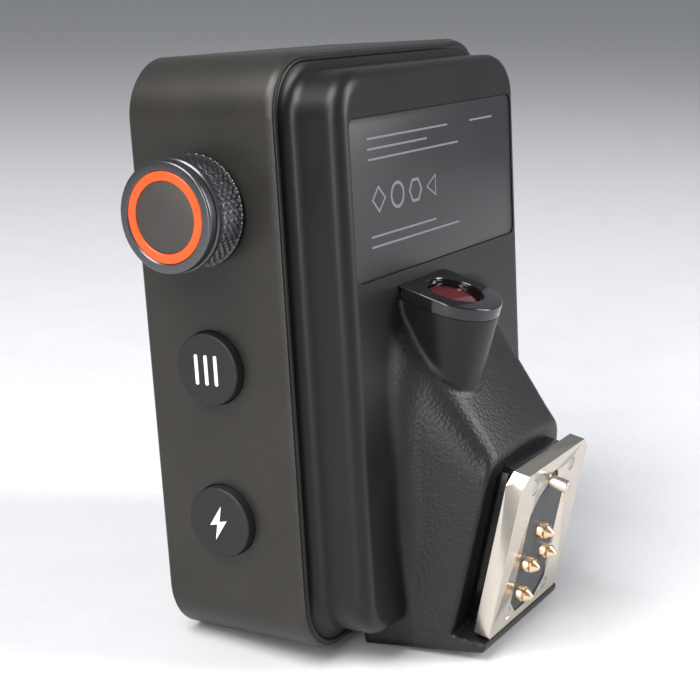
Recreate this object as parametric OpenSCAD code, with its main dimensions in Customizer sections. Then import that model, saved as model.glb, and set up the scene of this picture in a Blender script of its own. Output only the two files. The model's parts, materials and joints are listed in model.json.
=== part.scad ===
// Wireless flash trigger: a pocket-size controller with a hot-shoe foot on its back.
// It stands on its lower end as it does on a table, leaning a little towards the screen.
// Every piece is placed in the body's own upright frame: X across, Y from screen to back, Z up,
// with zero at the frame's lower edge. stand() then leans the whole object onto the table.

/* [Body] */
// Width of the side frame
body_w = 47.2; // [46:0.2:49]
// Height of the side frame
body_h = 66.9; // [66:0.1:68]
// Depth of the side frame, from screen to back
frame_d = 18.9; // [18.5:0.1:19.5]
// Corner radius of the side frame
corner_r = 6.6; // [5.6:0.2:7.6]
// Wall thickness of the side frame
wall = 1.5; // [1.4:0.1:1.6]
// Gap between two pieces that fit together
gap = 0.1; // [0.05:0.05:0.15]

/* [Rear cover] */
// Half width of the raised pod
pod_half_w = 20.8; // [20:0.1:21]
// Gap in height between the frame's edge and the pod
pod_inset_z = 2.1; // [1.8:0.1:2.6]
// Distance from the screen plane to the pod's flat back
pod_y = 25.4; // [25:0.1:26]
// Corner radius of the pod
pod_r = 5; // [4:0.5:6]
// Rounding of the pod's back edge
pod_edge = 1.2; // [0.8:0.1:1.6]
// Height of the wedge's top edge on the pod
wedge_z = 39.4; // [38:0.2:40]
// Half width of the wedge at the pod
wedge_half_w = 12.2; // [11.5:0.1:13]
// Half width of the wedge at the foot
wedge_end_half_w = 10; // [9.8:0.1:10.4]
// How far the wedge's chin reaches below the frame
chin_drop = 1.5; // [1.2:0.1:1.7]

/* [Foot] */
// Width of the foot plate across the shoe rails
foot_w = 18.6; // [18.5:0.05:18.65]
// Length of the foot plate along the rails
foot_l = 20.4; // [19.5:0.1:21]
// Thickness of the foot plate
foot_t = 1.9; // [1.8:0.05:2]
// Gap for the rails between plate and wedge
rail_gap = 2.0; // [1.9:0.05:2.2]
// Tilt of the foot plate from the body's long axis
foot_tilt = 14.4; // [10:0.2:18]
// Travel of a sprung contact
contact_travel = 1.2; // [0.8:0.1:1.3]
// Travel of the locating pin
lock_travel = 1.8; // [1.2:0.1:1.9]

/* [Controls] */
// Radius of the dial
dial_r = 6.1; // [5.6:0.1:6.4]
// Height of the dial's centre
dial_z = 50.9; // [50:0.1:52]
// Height of the menu button
menu_z = 33.5; // [32:0.1:35]
// Height of the test button
test_z = 15.9; // [15:0.1:18]
// Radius of both buttons
button_r = 4.1; // [3.8:0.1:4.3]
// Distance of the controls from the screen plane
controls_y = 9; // [8.8:0.1:9.2]
// Travel of the dial when it is pressed
dial_travel = 0.35; // [0.2:0.05:0.4]
// Travel of a button
button_travel = 0.35; // [0.2:0.05:0.4]

/* [Lamp] */
// Sideways place of the focus lamp
lamp_x = 5.1; // [4:0.1:5.5]
// Radius of the lamp housing's round end
lamp_r = 5.4; // [4.8:0.05:5.5]
// Tilt of the lamp's face
lamp_tilt = 18; // [14:1:20]

/* [Hidden] */
$fn = 64;

half_w = body_w / 2;
chin_y = 20;            // where the chin starts behind the frame
lean = atan(chin_drop / chin_y);

// Layers between the screen and the back
glass_out = 0.25;       // the glass stands proud of the frame
glass_t = 1.1;
glass_inset = 0.9;      // from the frame's outer edge
tape_t = 0.15;
ledge_y = glass_t - glass_out + tape_t;
ledge_t = 0.9;
display_t = 2.2;
chassis_y = 4.3;
chassis_t = 1.2;
board_y = 6;
board_t = 1;
board_back = board_y + board_t;
screen_ledge = 2.6;     // how far the screen's ledge reaches in from the outer edge
cover_t = 1.5;          // wall of the rear cover's pod
label_low = [-18.9, 42.6];
label_high = [18.9, 59.8];
label_r = 1;
label_t = 0.15;
label_depth = 0.25;     // depth of the label's recess
board_low = [-21.4, 2.6];
board_high = [15.2, 64.3];
display_half_w = 20.2;
display_z = [5, 62];
battery_x = [-15, 10.4];
battery_low = [16.6, 24];        // in Y and Z
battery_high = [22.9, 56.5];
film_t = 0.3;           // flexible ribbons and the antenna's strip

// Controls on the side with the dial
dial_back = half_w + dial_travel + gap;
dial_front = half_w + 6.17;
dial_seam = dial_front - 1.35;
dial_skirt = 1.2;       // depth of the recess behind the knob
dial_recess = 0.5;      // depth of the recess in the dial's face
dial_recess_r = 4.9;
ring_r = [3.85, 4.85];
face_r = 3.8;
button_front = half_w + 1.25;
flange_r = button_r + 0.6;
inner_x = half_w - wall;
side_board_x = 16.3;
side_face = side_board_x + 1;
encoder_t = 4.1;
shaft_r = 3;
bearing_gap = 0.05;
switch_t = 2.1;
switch_half = 2.2;
encoder_half = [4.4, 5];         // in Y and Z
plunger_r = 0.9;
plunger_out = button_travel + 0.45;

// Foot: s runs down the plate from its front edge, h runs outward from its face
foot_top = [39.25, 19.8];
function foot_y(s, h) = foot_top[0] - s * sin(foot_tilt) + h * cos(foot_tilt);
function foot_z(s, h) = foot_top[1] - s * cos(foot_tilt) - h * sin(foot_tilt);
function foot_point(s, h) = [foot_y(s, h), foot_z(s, h)];
end_h = -foot_t - rail_gap;      // the wedge's end face
base_h = end_h - 1.4;            // inner side of the end wall
base_in = base_h - 1.2;          // inner side of the shoe base
block_in = -8;                   // inner end of the contact block
lip_s = foot_l + 0.3;            // the lip below the plate
lock_place = [0, 3.05];
contact_places = [[0, 9.35], [-2.5, 12.95], [2.2, 13.05], [2.2, 16.95]];
screw_places = [[-5.1, 2.4], [5.1, 2.4], [-5.1, 18.6], [5.1, 18.6]];
screw_r = 0.75;
screw_hole_r = screw_r + bearing_gap;
screw_head_r = 1.2;
pin_r = 0.95;
pin_out = contact_travel + 0.4;
lock_r = 0.75;
lock_out = lock_travel + 0.2;
collar_h = -3.7;                 // outer face of a pin's collar
collar_t = 0.6;
collar_r = 1.25;

// Lamp on the wedge's top
lamp_y = 29.6;
lamp_z = 39.75;
lamp_cap_t = 1.5;
lamp_back = 4.6;        // how far the straight sides run back
tower_low = -11.5;      // lower end of the tower, measured from the lamp's face
tower_low_r = 3.1;
tower_low_out = 2.4;    // how far the tower's lower end stands out
lens_r = 2.9;
lens_y = -0.1;
lens_recess_r = 3.35;
lamp_floor = -4.6;      // bottom of the lamp's bore
lamp_board_t = 0.7;

// Ports on the side away from the dial
usb_z = 18;
usb_half = [1.6, 4.5];           // half thickness and half width of the socket
usb_wall = 0.3;
usb_hole_gap = 0.2;
usb_y = board_back + usb_half[0];
jack_z = 34;
jack_y = board_back + 2.5;
jack_bore_r = 1.3;
jack_depth = 10;
jack_half_z = 3;
jack_nose_r = 2.4;
jack_hole_r = 2.6;

// Fixing posts between the boards and the rear cover
post_places = [[-17.6, 7.4], [-17.6, 59.5], [13, 7.4], [13, 59.5]];
post_r = 2.2;
thread_r = 0.8;

// Origin at the middle of the bounding box, on the table
x_mid = (dial_front - half_w) / 2;
y_front = -glass_out * cos(lean) - (body_h - glass_inset) * sin(lean);
lock_edge_s = lock_place[1] - lock_r + 0.2;
y_rear = foot_y(lock_edge_s, lock_out) * cos(lean) - foot_z(lock_edge_s, lock_out) * sin(lean);
y_mid = (y_front + y_rear) / 2;

// ---- helpers ----

// Leans the upright body onto the table
module stand() {
    translate([-x_mid, -y_mid, 0]) rotate([lean, 0, 0]) children();
}

// A box between two corners
module box(low, high) {
    translate(low) cube(high - low);
}

// A cylinder along X
module rod_x(x0, x1, r, y, z) {
    translate([x0, y, z]) rotate([0, 90, 0]) cylinder(h = x1 - x0, r = r);
}

// A cylinder along Y
module rod_y(y0, y1, r, x, z) {
    translate([x, y1, z]) rotate([90, 0, 0]) cylinder(h = y1 - y0, r = r);
}

// An outline in X and Z, drawn out along Y
module along_y(y0, y1) {
    translate([0, y1, 0]) rotate([90, 0, 0]) linear_extrude(y1 - y0) children();
}

// An outline in Y and Z, drawn out along X
module along_x(x0, x1) {
    translate([x0, 0, 0]) rotate([90, 0, 90]) linear_extrude(x1 - x0) children();
}

// A rounded rectangle between two corners
module rounded(low, high, r) {
    translate([low[0] + r, low[1]]) square([high[0] - low[0] - 2 * r, high[1] - low[1]]);
    translate([low[0], low[1] + r]) square([high[0] - low[0], high[1] - low[1] - 2 * r]);
    for (x = [low[0] + r, high[0] - r], z = [low[1] + r, high[1] - r])
        translate([x, z]) circle(r = r);
}

// The frame's outline, moved inward by a distance
module body_outline(inset) {
    rounded([-half_w + inset, inset], [half_w - inset, body_h - inset], corner_r - inset);
}

// Places its children on the foot plate: X across, Y down the plate, Z outward
module on_foot() {
    translate([0, foot_top[0], foot_top[1]]) rotate([-90 - foot_tilt, 0, 0]) children();
}

// A disc on the foot between two heights
module foot_rod(place, h0, h1, r) {
    translate([place[0], place[1], h0]) cylinder(h = h1 - h0, r = r);
}

// Places its children on the lamp's face: X across, Y outward, Z up out of the face
module on_lamp() {
    translate([lamp_x, lamp_y, lamp_z]) rotate([-lamp_tilt, 0, 0]) children();
}

// The lamp housing's outline: a round end with straight sides running back to the pod
module lamp_outline(r, back) {
    circle(r = r);
    translate([-r, -back]) square([2 * r, back]);
}

// A compression spring standing on Z, swept as a helix
module coil_spring(r, wire, turns, length) {
    sides = 6;
    steps = turns * 14;
    rise = length - 2 * wire;
    points = [for (i = [0:steps], j = [0:sides - 1])
        let (a = 360 * turns * i / steps, b = 360 * j / sides, q = r + wire * cos(b))
        [q * cos(a), q * sin(a), wire + rise * i / steps + wire * sin(b)]];
    skin = [for (i = [0:steps - 1], j = [0:sides - 1])
        let (k = (j + 1) % sides)
        [i * sides + j, i * sides + k, (i + 1) * sides + k, (i + 1) * sides + j]];
    first = [[for (j = [sides - 1:-1:0]) j]];
    last = [[for (j = [0:sides - 1]) steps * sides + j]];
    polyhedron(points, concat(skin, first, last));
}

// ---- casing ----

module frame_shell() {
    color("#45413d") stand() difference() {
        along_y(0, frame_d) body_outline(0);
        along_y(-1, ledge_y) body_outline(glass_inset - gap);
        along_y(0, ledge_y + ledge_t + 0.1) body_outline(screen_ledge);
        along_y(ledge_y + ledge_t, frame_d + 1) body_outline(wall);
        rod_x(inner_x - 1, half_w + 1, shaft_r + 0.7, controls_y, dial_z);
        for (z = [menu_z, test_z])
            rod_x(inner_x - 1, half_w + 1, button_r + gap, controls_y, z);
        along_x(-half_w - 1, -inner_x + 1)
            usb_outline(usb_hole_gap);
        rod_x(-half_w - 1, -inner_x + 1, jack_hole_r, jack_y, jack_z);
    }
}

module screen_glass() {
    color("#0b0c0e") stand() along_y(-glass_out, glass_t - glass_out) body_outline(glass_inset);
}

module display_tape() {
    color("#202020") stand() difference() {
        along_y(glass_t - glass_out, ledge_y) body_outline(1);
        along_y(0, 2) body_outline(screen_ledge);
    }
}

module display_module() {
    color("#1c2126") stand()
        box([-display_half_w, ledge_y, display_z[0]],
            [display_half_w, ledge_y + display_t, display_z[1]]);
}

module chassis() {
    color("#303234") stand() difference() {
        union() {
            along_y(chassis_y, chassis_y + chassis_t) rounded([-21.6, 2], [21.6, 64.9], 4.6);
            for (p = post_places)
                rod_y(chassis_y + chassis_t, board_y, post_r, p[0], p[1]);
        }
        box([side_board_x - 0.5, 4, 8], [22, 6, 58]);
        box([-12, 4, 30], [10, 6, 56]);
        for (p = post_places)
            rod_y(4, 7, 1.05, p[0], p[1]);
    }
}

module rear_cover() {
    color("#1a1b1d") stand() difference() {
        union() {
            along_y(frame_d - 1.2, frame_d + 0.1) body_outline(wall + gap);
            pod_block();
            wedge_block(wedge_profile(), 0);
            on_lamp() lamp_tower();
        }
        along_y(frame_d - 2, pod_y - cover_t) rounded([-18.9, 3.9], [18.9, 63], 3.4);
        wedge_block(wedge_cavity(), 1.7);
        along_y(pod_y - label_depth, pod_y + 1)
            rounded(label_low - [gap, gap], label_high + [gap, gap], label_r + gap);
        on_lamp() lamp_bore();
        on_foot() box([-7.6, 1.4, base_h - 1], [7.6, 19.7, 0]);
    }
    color("#1a1b1d") stand() cover_posts();
}

// Posts that carry the screws, joined to the flange inside the pod
module cover_posts() {
    for (p = post_places)
        difference() {
            rod_y(board_back, pod_y - 1.3, post_r, p[0], p[1]);
            rod_y(board_back - 1, board_back + 9, thread_r, p[0], p[1]);
        }
}

// The raised pod with a rounded back edge
module pod_block() {
    hull() {
        along_y(frame_d, pod_y - pod_edge) pod_outline(0);
        along_y(pod_y - 0.1, pod_y) pod_outline(pod_edge);
    }
}

module pod_outline(inset) {
    rounded([-pod_half_w + inset, pod_inset_z + inset],
        [pod_half_w - inset, body_h - pod_inset_z - inset], pod_r - inset);
}

// Side outline of the wedge: chin, lip, end face and slope
function wedge_profile() = [
    [chin_y, -chin_drop],
    [foot_y(lip_s, 0) - 0.7, -chin_drop],
    foot_point(lip_s, 0.1),
    foot_point(lip_s, end_h),
    foot_point(-1.2, end_h),
    [pod_y, wedge_z],
    [chin_y, wedge_z]];

function wedge_cavity() = [
    [21, 0.2],
    foot_point(20.4, base_h),
    foot_point(0.9, base_h),
    [pod_y - 1, wedge_z - 2],
    [21, wedge_z - 2]];

// A side outline drawn out across the wedge and cut to its taper
module wedge_block(profile, inset) {
    near = wedge_half_w + 1.2 - inset;
    far = wedge_end_half_w - inset;
    far_y = foot_y(lip_s, 0);
    intersection() {
        along_x(-15, 15) polygon(profile);
        translate([0, 0, -5]) linear_extrude(50)
            polygon([[-near, chin_y - 1], [near, chin_y - 1], [far, far_y], [far, 50],
                [-far, 50], [-far, far_y]]);
    }
}

// The lamp's tower, wider at its top
module lamp_tower() {
    hull() {
        translate([0, 0, -lamp_cap_t - 0.2]) linear_extrude(0.2)
            lamp_outline(lamp_r, lamp_back - 0.4);
        translate([0, tower_low_out, tower_low]) linear_extrude(0.2)
            lamp_outline(tower_low_r, lamp_back - 0.4);
    }
}

module lamp_bore() {
    translate([0, lens_y, lamp_floor]) cylinder(h = 0.5 - lamp_floor, r = lens_r + 0.25);
}

module rating_label() {
    color("#26282b") stand()
        along_y(pod_y - label_depth, pod_y - label_depth + label_t)
            rounded(label_low, label_high, label_r);
}

// ---- inside ----

module main_board() {
    color("#1f5a3a") stand() difference() {
        union() {
            along_y(board_y, board_back) rounded(board_low, board_high, 4.4);
            box([-10, board_back, 26], [-2, board_back + 1, 34]);
            box([2, board_back, 24], [9, board_back + 1.2, 30]);
        }
        for (p = post_places)
            rod_y(5, 8, 1.05, p[0], p[1]);
    }
}

module rf_shield() {
    color("#b8bbbd") stand() difference() {
        box([-12, board_back, 42], [4, board_back + 2, 56]);
        box([-11.8, board_back - 1, 42.2], [3.8, board_back + 1.8, 55.8]);
    }
}

module antenna() {
    color("#c98b3a") stand() union() {
        box([-12, 9, 64.8], [8, 15, 64.8 + film_t]);
        box([-3, board_back, 64.8], [-1, 9, 64.8 + film_t]);
        box([-3, board_back, 63.5], [-1, board_back + film_t, 64.8 + film_t]);
    }
}

module battery() {
    color("#8d9296") stand() along_x(battery_x[0], battery_x[1])
        rounded(battery_low, battery_high, 2.4);
}

module battery_pad() {
    color("#e6e2d6") stand() box([-13, battery_high[0], 27], [8, pod_y - cover_t, 54]);
}

module display_flex() {
    color("#b5651d") stand() difference() {
        box([-7, ledge_y + display_t, 33], [5, board_y, 40]);
        box([-8, ledge_y + display_t - 1, 32], [6, board_y - 0.3, 39.7]);
    }
}

// The outline of the USB socket in Y and Z, grown by a distance
module usb_outline(grow) {
    y = usb_half[0] + grow;
    z = usb_half[1] + grow;
    rounded([usb_y - y, usb_z - z], [usb_y + y, usb_z + z], y - 0.05);
}

module usb_socket() {
    color("#c4c6c8") stand() difference() {
        along_x(-half_w + 0.5, -15.5)
            usb_outline(0);
        difference() {
            along_x(-half_w - 1, -17) usb_outline(-usb_wall);
            box([-21.8, usb_y - 0.35, usb_z - 3.3], [-16, usb_y + 0.35, usb_z + 3.3]);
        }
    }
}

module sync_jack() {
    color("#17181a") stand() difference() {
        union() {
            box([-21.9, board_back, jack_z - jack_half_z],
                [-10.5, board_back + 5, jack_z + jack_half_z]);
            rod_x(-half_w + 0.1, -21.9, jack_nose_r, jack_y, jack_z);
        }
        rod_x(-half_w, -half_w + 0.1 + jack_depth, jack_bore_r, jack_y, jack_z);
    }
}

module chassis_screws() {
    color("#9a9da0") stand() for (p = post_places) {
        rod_y(chassis_y - 0.7, chassis_y, 1.6, p[0], p[1]);
        rod_y(chassis_y, board_back + 6, thread_r - 0.05, p[0], p[1]);
    }
}

// ---- lamp ----

// The bezel's back is cut to lie against the pod
module lamp_bezel() {
    color("#0c0d10") stand() difference() {
        on_lamp() difference() {
            translate([0, 0, -lamp_cap_t]) linear_extrude(lamp_cap_t)
                lamp_outline(lamp_r, lamp_back);
            translate([0, lens_y, -lamp_cap_t - 1]) cylinder(h = 3, r = lens_r + gap);
            translate([0, lens_y, -0.5]) cylinder(h = 1, r = lens_recess_r);
        }
        box([-5, 20, 30], [15, pod_y + 0.02, 50]);
    }
}

module lamp_lens() {
    color("#a3121c") stand() on_lamp() translate([0, lens_y, 0]) rotate_extrude()
        polygon([[0, -2.6], [lens_r, -2.6], [lens_r, -0.75], [lens_r - 0.8, -0.5], [0, -0.35]]);
}

module lamp_led() {
    led_low = lamp_floor + lamp_board_t;
    color("#f2e9c9") stand() on_lamp() translate([0, lens_y, led_low])
        rotate_extrude() polygon([[0, 0], [1.2, 0], [1.2, 0.5], [0.7, 0.6], [0.45, 0.95], [0, 1.1]]);
}

module lamp_board() {
    color("#1f5a3a") stand() on_lamp()
        translate([0, lens_y, lamp_floor]) cylinder(h = lamp_board_t, r = lens_r);
}

// ---- foot ----

// Outline of the contact block, narrow at the locating pin
module block_outline(extra) {
    w = 4.7 + extra;
    translate(lock_place) circle(r = 1.3 + extra);
    polygon([[-1.3 - extra, 3], [1.3 + extra, 3], [3.2 + extra, 4.1 - extra], [w, 6 - extra],
        [w, 17.2 + extra], [2.6 + extra, 19.2 + extra], [-2.6 - extra, 19.2 + extra],
        [-w, 17.2 + extra], [-w, 6 - extra], [-3.2 - extra, 4.1 - extra]]);
}

module shoe_base() {
    color("#08090a") stand() on_foot() difference() {
        union() {
            box([-6, 0.6, end_h], [6, foot_l - 0.2, -foot_t]);
            box([-7.5, 1.5, base_h], [7.5, 19.6, end_h]);
            box([-8.1, 1.1, base_in], [8.1, 19.6, base_h]);
        }
        translate([0, 0, base_in - 1]) linear_extrude(8) block_outline(gap);
        for (p = screw_places)
            foot_rod(p, base_in - 1, 0, screw_hole_r);
    }
}

module shoe_plate() {
    corner = 1.5;
    color("#b9b3a6") stand() on_foot() difference() {
        translate([0, 0, -foot_t]) linear_extrude(foot_t)
            polygon([[-foot_w / 2 + corner, 0], [foot_w / 2 - corner, 0],
                [foot_w / 2, corner - 0.2], [foot_w / 2, foot_l - 0.4],
                [foot_w / 2 - 0.4, foot_l], [-foot_w / 2 + 0.4, foot_l],
                [-foot_w / 2, foot_l - 0.4], [-foot_w / 2, corner - 0.2]]);
        translate([0, 0, -foot_t - 1]) linear_extrude(foot_t + 2) block_outline(gap);
        for (p = screw_places)
            foot_rod(p, -foot_t - 1, 1, screw_hole_r);
    }
}

module contact_block() {
    color("#2d2f31") stand() on_foot() difference() {
        translate([0, 0, block_in]) linear_extrude(-0.2 - block_in) block_outline(0);
        for (p = contact_places) {
            foot_rod(p, block_in - 1, 1, pin_r + bearing_gap);
            foot_rod(p, block_in - 1, collar_h + 0.05, collar_r + gap);
        }
        foot_rod(lock_place, block_in - 1, 1, lock_r + bearing_gap);
        foot_rod(lock_place, block_in - 1, collar_h + 0.05, lock_r + 0.3);
    }
}

module contact_board() {
    color("#1f5a3a") stand() on_foot() box([-4.5, 1.7, block_in - 0.8], [4.5, 18.8, block_in]);
}

module shoe_flex() {
    color("#b5651d") stand() {
        on_foot() box([-3, 9, block_in - 1.1], [3, 18, block_in - 0.8]);
        box([-3, board_back, 5.2], [3, 26.2, 5.2 + film_t]);
    }
}

// A sprung contact: collar, shank and a conical tip
module contact_pin(place) {
    color("#d8b56a") stand() on_foot() translate([place[0], place[1], 0]) rotate_extrude()
        polygon([[0, collar_h - collar_t], [collar_r, collar_h - collar_t], [collar_r, collar_h],
            [pin_r, collar_h], [pin_r, 0.5], [pin_r - 0.2, 0.6], [pin_r - 0.1, 0.75],
            [0.2, pin_out], [0, pin_out]]);
}

module contact_pin_1() {
    contact_pin(contact_places[0]);
}

module contact_pin_2() {
    contact_pin(contact_places[1]);
}

module contact_pin_3() {
    contact_pin(contact_places[2]);
}

module contact_pin_4() {
    contact_pin(contact_places[3]);
}

module lock_pin() {
    color("#c9c6bf") stand() on_foot() translate([lock_place[0], lock_place[1], 0])
        rotate_extrude() polygon([[0, collar_h - collar_t], [lock_r + 0.2, collar_h - collar_t],
            [lock_r + 0.2, collar_h], [lock_r, collar_h], [lock_r, lock_out - 0.2],
            [lock_r - 0.2, lock_out], [0, lock_out]]);
}

// A spring between a pin's collar and the contact board
module pin_spring(place, r) {
    color("#c0c3c5") stand() on_foot() translate([place[0], place[1], block_in])
        coil_spring(r, 0.14, 5, collar_h - collar_t - block_in);
}

module contact_spring_1() {
    pin_spring(contact_places[0], 1);
}

module contact_spring_2() {
    pin_spring(contact_places[1], 1);
}

module contact_spring_3() {
    pin_spring(contact_places[2], 1);
}

module contact_spring_4() {
    pin_spring(contact_places[3], 1);
}

module lock_spring() {
    pin_spring(lock_place, 0.75);
}

module shoe_screws() {
    color("#aeb1b3") stand() on_foot() for (p = screw_places) {
        foot_rod(p, base_in, -0.05, screw_r);
        foot_rod(p, base_in - 0.8, base_in, screw_head_r);
    }
}

// ---- dial ----

// A ring or disc on the dial's axis
module dial_disc(x0, x1, outer, inner) {
    difference() {
        rod_x(x0, x1, outer, controls_y, dial_z);
        if (inner > 0)
            rod_x(x0 - 1, x1 + 1, inner, controls_y, dial_z);
    }
}

module dial_knob() {
    color("#3a3b3d") stand() difference() {
        dial_disc(dial_back, dial_seam, dial_r, shaft_r + bearing_gap);
        dial_disc(dial_back - 1, dial_back + dial_skirt, dial_r - 1.2, 0);
    }
}

module dial_cap() {
    color("#2f3032") stand() difference() {
        dial_disc(dial_seam, dial_front, dial_r - 0.15, 0);
        dial_disc(dial_front - dial_recess, dial_front + 1, dial_recess_r, 0);
    }
}

module dial_ring() {
    color("#f0401a") stand()
        dial_disc(dial_front - dial_recess, dial_front - 0.05, ring_r[1], ring_r[0]);
}

module dial_face() {
    color("#4a4744") stand() dial_disc(dial_front - dial_recess, dial_front - 0.12, face_r, 0);
}

module encoder_shaft() {
    color("#b0b3b5") stand() {
        rod_x(side_face + 2.2, dial_seam, shaft_r, controls_y, dial_z);
        rod_x(side_face + 2.2, side_face + 2.8, shaft_r + 0.4, controls_y, dial_z);
    }
}

module encoder_body() {
    color("#2b2d30") stand() difference() {
        union() {
            box([side_face, controls_y - encoder_half[0], dial_z - encoder_half[1]],
                [side_face + encoder_t, controls_y + encoder_half[0], dial_z + encoder_half[1]]);
            rod_x(side_face + encoder_t, half_w - 0.1, shaft_r + 0.6, controls_y, dial_z);
        }
        rod_x(side_face, half_w + 1, shaft_r + bearing_gap, controls_y, dial_z);
        rod_x(side_face + 0.7, side_face + encoder_t - 0.6, shaft_r + 0.5, controls_y, dial_z);
    }
}

module encoder_plunger() {
    color("#d9d4c7") stand()
        rod_x(side_face + 1.5, side_face + 2.2, 2.2, controls_y, dial_z);
}

// ---- buttons ----

// A round cap with a retaining flange behind the frame's wall
module button_cap(z) {
    color("#151617") stand() {
        rod_x(inner_x - 0.2, button_front, button_r, controls_y, z);
        rod_x(inner_x - 0.8, inner_x - 0.2, flange_r, controls_y, z);
        rod_x(side_face + switch_t + plunger_out, inner_x - 0.8, 1.1, controls_y, z);
    }
}

// The small plunger of a push switch
module switch_plunger(z) {
    color("#d9d4c7") stand() rod_x(side_face + switch_t - 0.5,
        side_face + switch_t + plunger_out, plunger_r, controls_y, z);
}

// A push switch soldered to the side board
module push_switch(z) {
    color("#8f9396") stand() difference() {
        box([side_face, controls_y - switch_half, z - switch_half],
            [side_face + switch_t, controls_y + switch_half, z + switch_half]);
        rod_x(side_face + switch_t - 1.1, side_face + switch_t + 1,
            plunger_r + bearing_gap, controls_y, z);
    }
}

module menu_button() {
    button_cap(menu_z);
}

module menu_plunger() {
    switch_plunger(menu_z);
}

module menu_switch() {
    push_switch(menu_z);
}

module test_button() {
    button_cap(test_z);
}

module test_plunger() {
    switch_plunger(test_z);
}

module test_switch() {
    push_switch(test_z);
}

module side_board() {
    color("#1f5a3a") stand() box([side_board_x, controls_y - 4.4, 9],
        [side_face, controls_y + 4.6, 57]);
}

module side_flex() {
    color("#b5651d") stand()
        box([13.2, board_back, 22], [side_board_x, board_back + film_t, 29]);
}

frame_shell();
screen_glass();
display_tape();
display_module();
chassis();
main_board();
rf_shield();
antenna();
battery();
battery_pad();
display_flex();
usb_socket();
sync_jack();
rear_cover();
rating_label();
lamp_bezel();
lamp_lens();
lamp_led();
lamp_board();
shoe_base();
shoe_plate();
contact_block();
contact_board();
shoe_flex();
contact_pin_1();
contact_pin_2();
contact_pin_3();
contact_pin_4();
lock_pin();
contact_spring_1();
contact_spring_2();
contact_spring_3();
contact_spring_4();
lock_spring();
shoe_screws();
chassis_screws();
dial_knob();
dial_cap();
dial_ring();
dial_face();
encoder_shaft();
encoder_body();
encoder_plunger();
menu_button();
menu_plunger();
menu_switch();
test_button();
test_plunger();
test_switch();
side_board();
side_flex();
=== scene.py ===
import json
import math

import bmesh
import bpy
import numpy as np
from mathutils import Matrix, Vector


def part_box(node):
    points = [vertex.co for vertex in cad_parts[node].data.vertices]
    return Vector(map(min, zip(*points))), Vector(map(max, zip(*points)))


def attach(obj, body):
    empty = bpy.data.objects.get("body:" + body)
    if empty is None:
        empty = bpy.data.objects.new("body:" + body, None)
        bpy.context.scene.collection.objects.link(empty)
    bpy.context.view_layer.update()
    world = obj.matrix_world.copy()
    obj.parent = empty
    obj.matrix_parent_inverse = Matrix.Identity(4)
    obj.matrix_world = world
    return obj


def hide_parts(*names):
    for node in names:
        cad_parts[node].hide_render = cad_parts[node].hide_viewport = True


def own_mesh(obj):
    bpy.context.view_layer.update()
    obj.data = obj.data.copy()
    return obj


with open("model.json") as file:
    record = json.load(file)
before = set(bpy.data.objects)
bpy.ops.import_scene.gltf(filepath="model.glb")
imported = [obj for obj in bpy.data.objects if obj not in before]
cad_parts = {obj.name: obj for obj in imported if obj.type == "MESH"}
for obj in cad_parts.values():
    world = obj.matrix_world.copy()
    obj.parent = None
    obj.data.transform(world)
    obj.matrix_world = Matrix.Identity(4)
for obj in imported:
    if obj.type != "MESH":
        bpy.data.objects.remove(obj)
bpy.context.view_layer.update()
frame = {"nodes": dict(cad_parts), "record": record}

# Looks of a wireless flash trigger. Shapes are built in millimetres in the body's upright frame
# (X across, Y from screen to back, Z up) and then stood on the table as the CAD part stands.

# ---- sizes, in millimetres ----

HALF_W, BODY_H, FRAME_D, CORNER_R, WALL = 23.6, 66.9, 18.9, 6.6, 1.5
POD_HALF, POD_LOW, POD_HIGH, POD_Y, POD_R, POD_EDGE = 20.8, 2.1, 64.8, 25.4, 5.0, 1.8
CHIN_Y, CHIN_DROP = 20.0, 1.5
WEDGE_TOP, WEDGE_NEAR, WEDGE_FAR = 39.4, 13.4, 10.0
FOOT_TOP, FOOT_TILT = (39.25, 19.8), math.radians(14.4)
END_H, LIP_S, BLOCK_IN = -3.9, 20.7, -8.0
COLLAR_H, COLLAR_T, COLLAR_R, PIN_R, LOCK_R = -3.7, 0.6, 1.25, 0.95, 0.75
CONTACTS = [(0, 9.35), (-2.5, 12.95), (2.2, 13.05), (2.2, 16.95)]
LOCK = (0, 3.05)
LAMP_AT, LAMP_TILT, LAMP_R, LAMP_CAP = (5.1, 29.6, 39.75), math.radians(18), 5.4, 1.5
LENS_Y, LENS_R, RECESS_R, LAMP_FLOOR = -0.1, 2.9, 3.35, -4.6
TOWER_LOW, TOWER_LOW_R, TOWER_OUT = -11.5, 3.1, 2.4
CONTROLS_Y, DIAL_Z, MENU_Z, TEST_Z = 9.0, 50.9, 33.5, 15.9
DIAL_R, DIAL_BACK, DIAL_FRONT, DIAL_SEAM = 6.1, 24.05, 29.77, 28.42
BUTTON_R, BUTTON_FRONT, BUTTON_INNER, BUTTON_STEM = 4.1, 24.85, 22.1, 20.2
USB_Y, USB_Z, JACK_Y, JACK_Z = 8.6, 18.0, 9.5, 34.0
LABEL_LOW, LABEL_HIGH, LABEL_R, LABEL_DEPTH = (-18.9, 42.6), (18.9, 59.8), 1.0, 0.25
MARK_TOP, MARK_LOW = 0.085 - POD_Y, 0.11 - POD_Y
GAP = 0.1
POSTS = [(-17.6, 7.4), (-17.6, 59.5), (13.0, 7.4), (13.0, 59.5)]
POST_R, THREAD_R = 2.2, 0.8
LEDGE_FRONT, LEDGE_BACK, LEDGE_IN, GLASS_SEAT = 1.0, 1.9, 2.6, 0.8
HOLLOW_HALF, HOLLOW_LOW, HOLLOW_HIGH, HOLLOW_R, COVER_T, WEDGE_T = 18.9, 3.9, 63, 3.4, 1.5, 1.7
DIAL_RECESS, DIAL_RECESS_R, DIAL_SKIRT, DIAL_BORE_R = 0.5, 4.9, 1.2, 3.05
RING_IN, RING_OUT, FACE_R = 3.85, 4.85, 3.8
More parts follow.
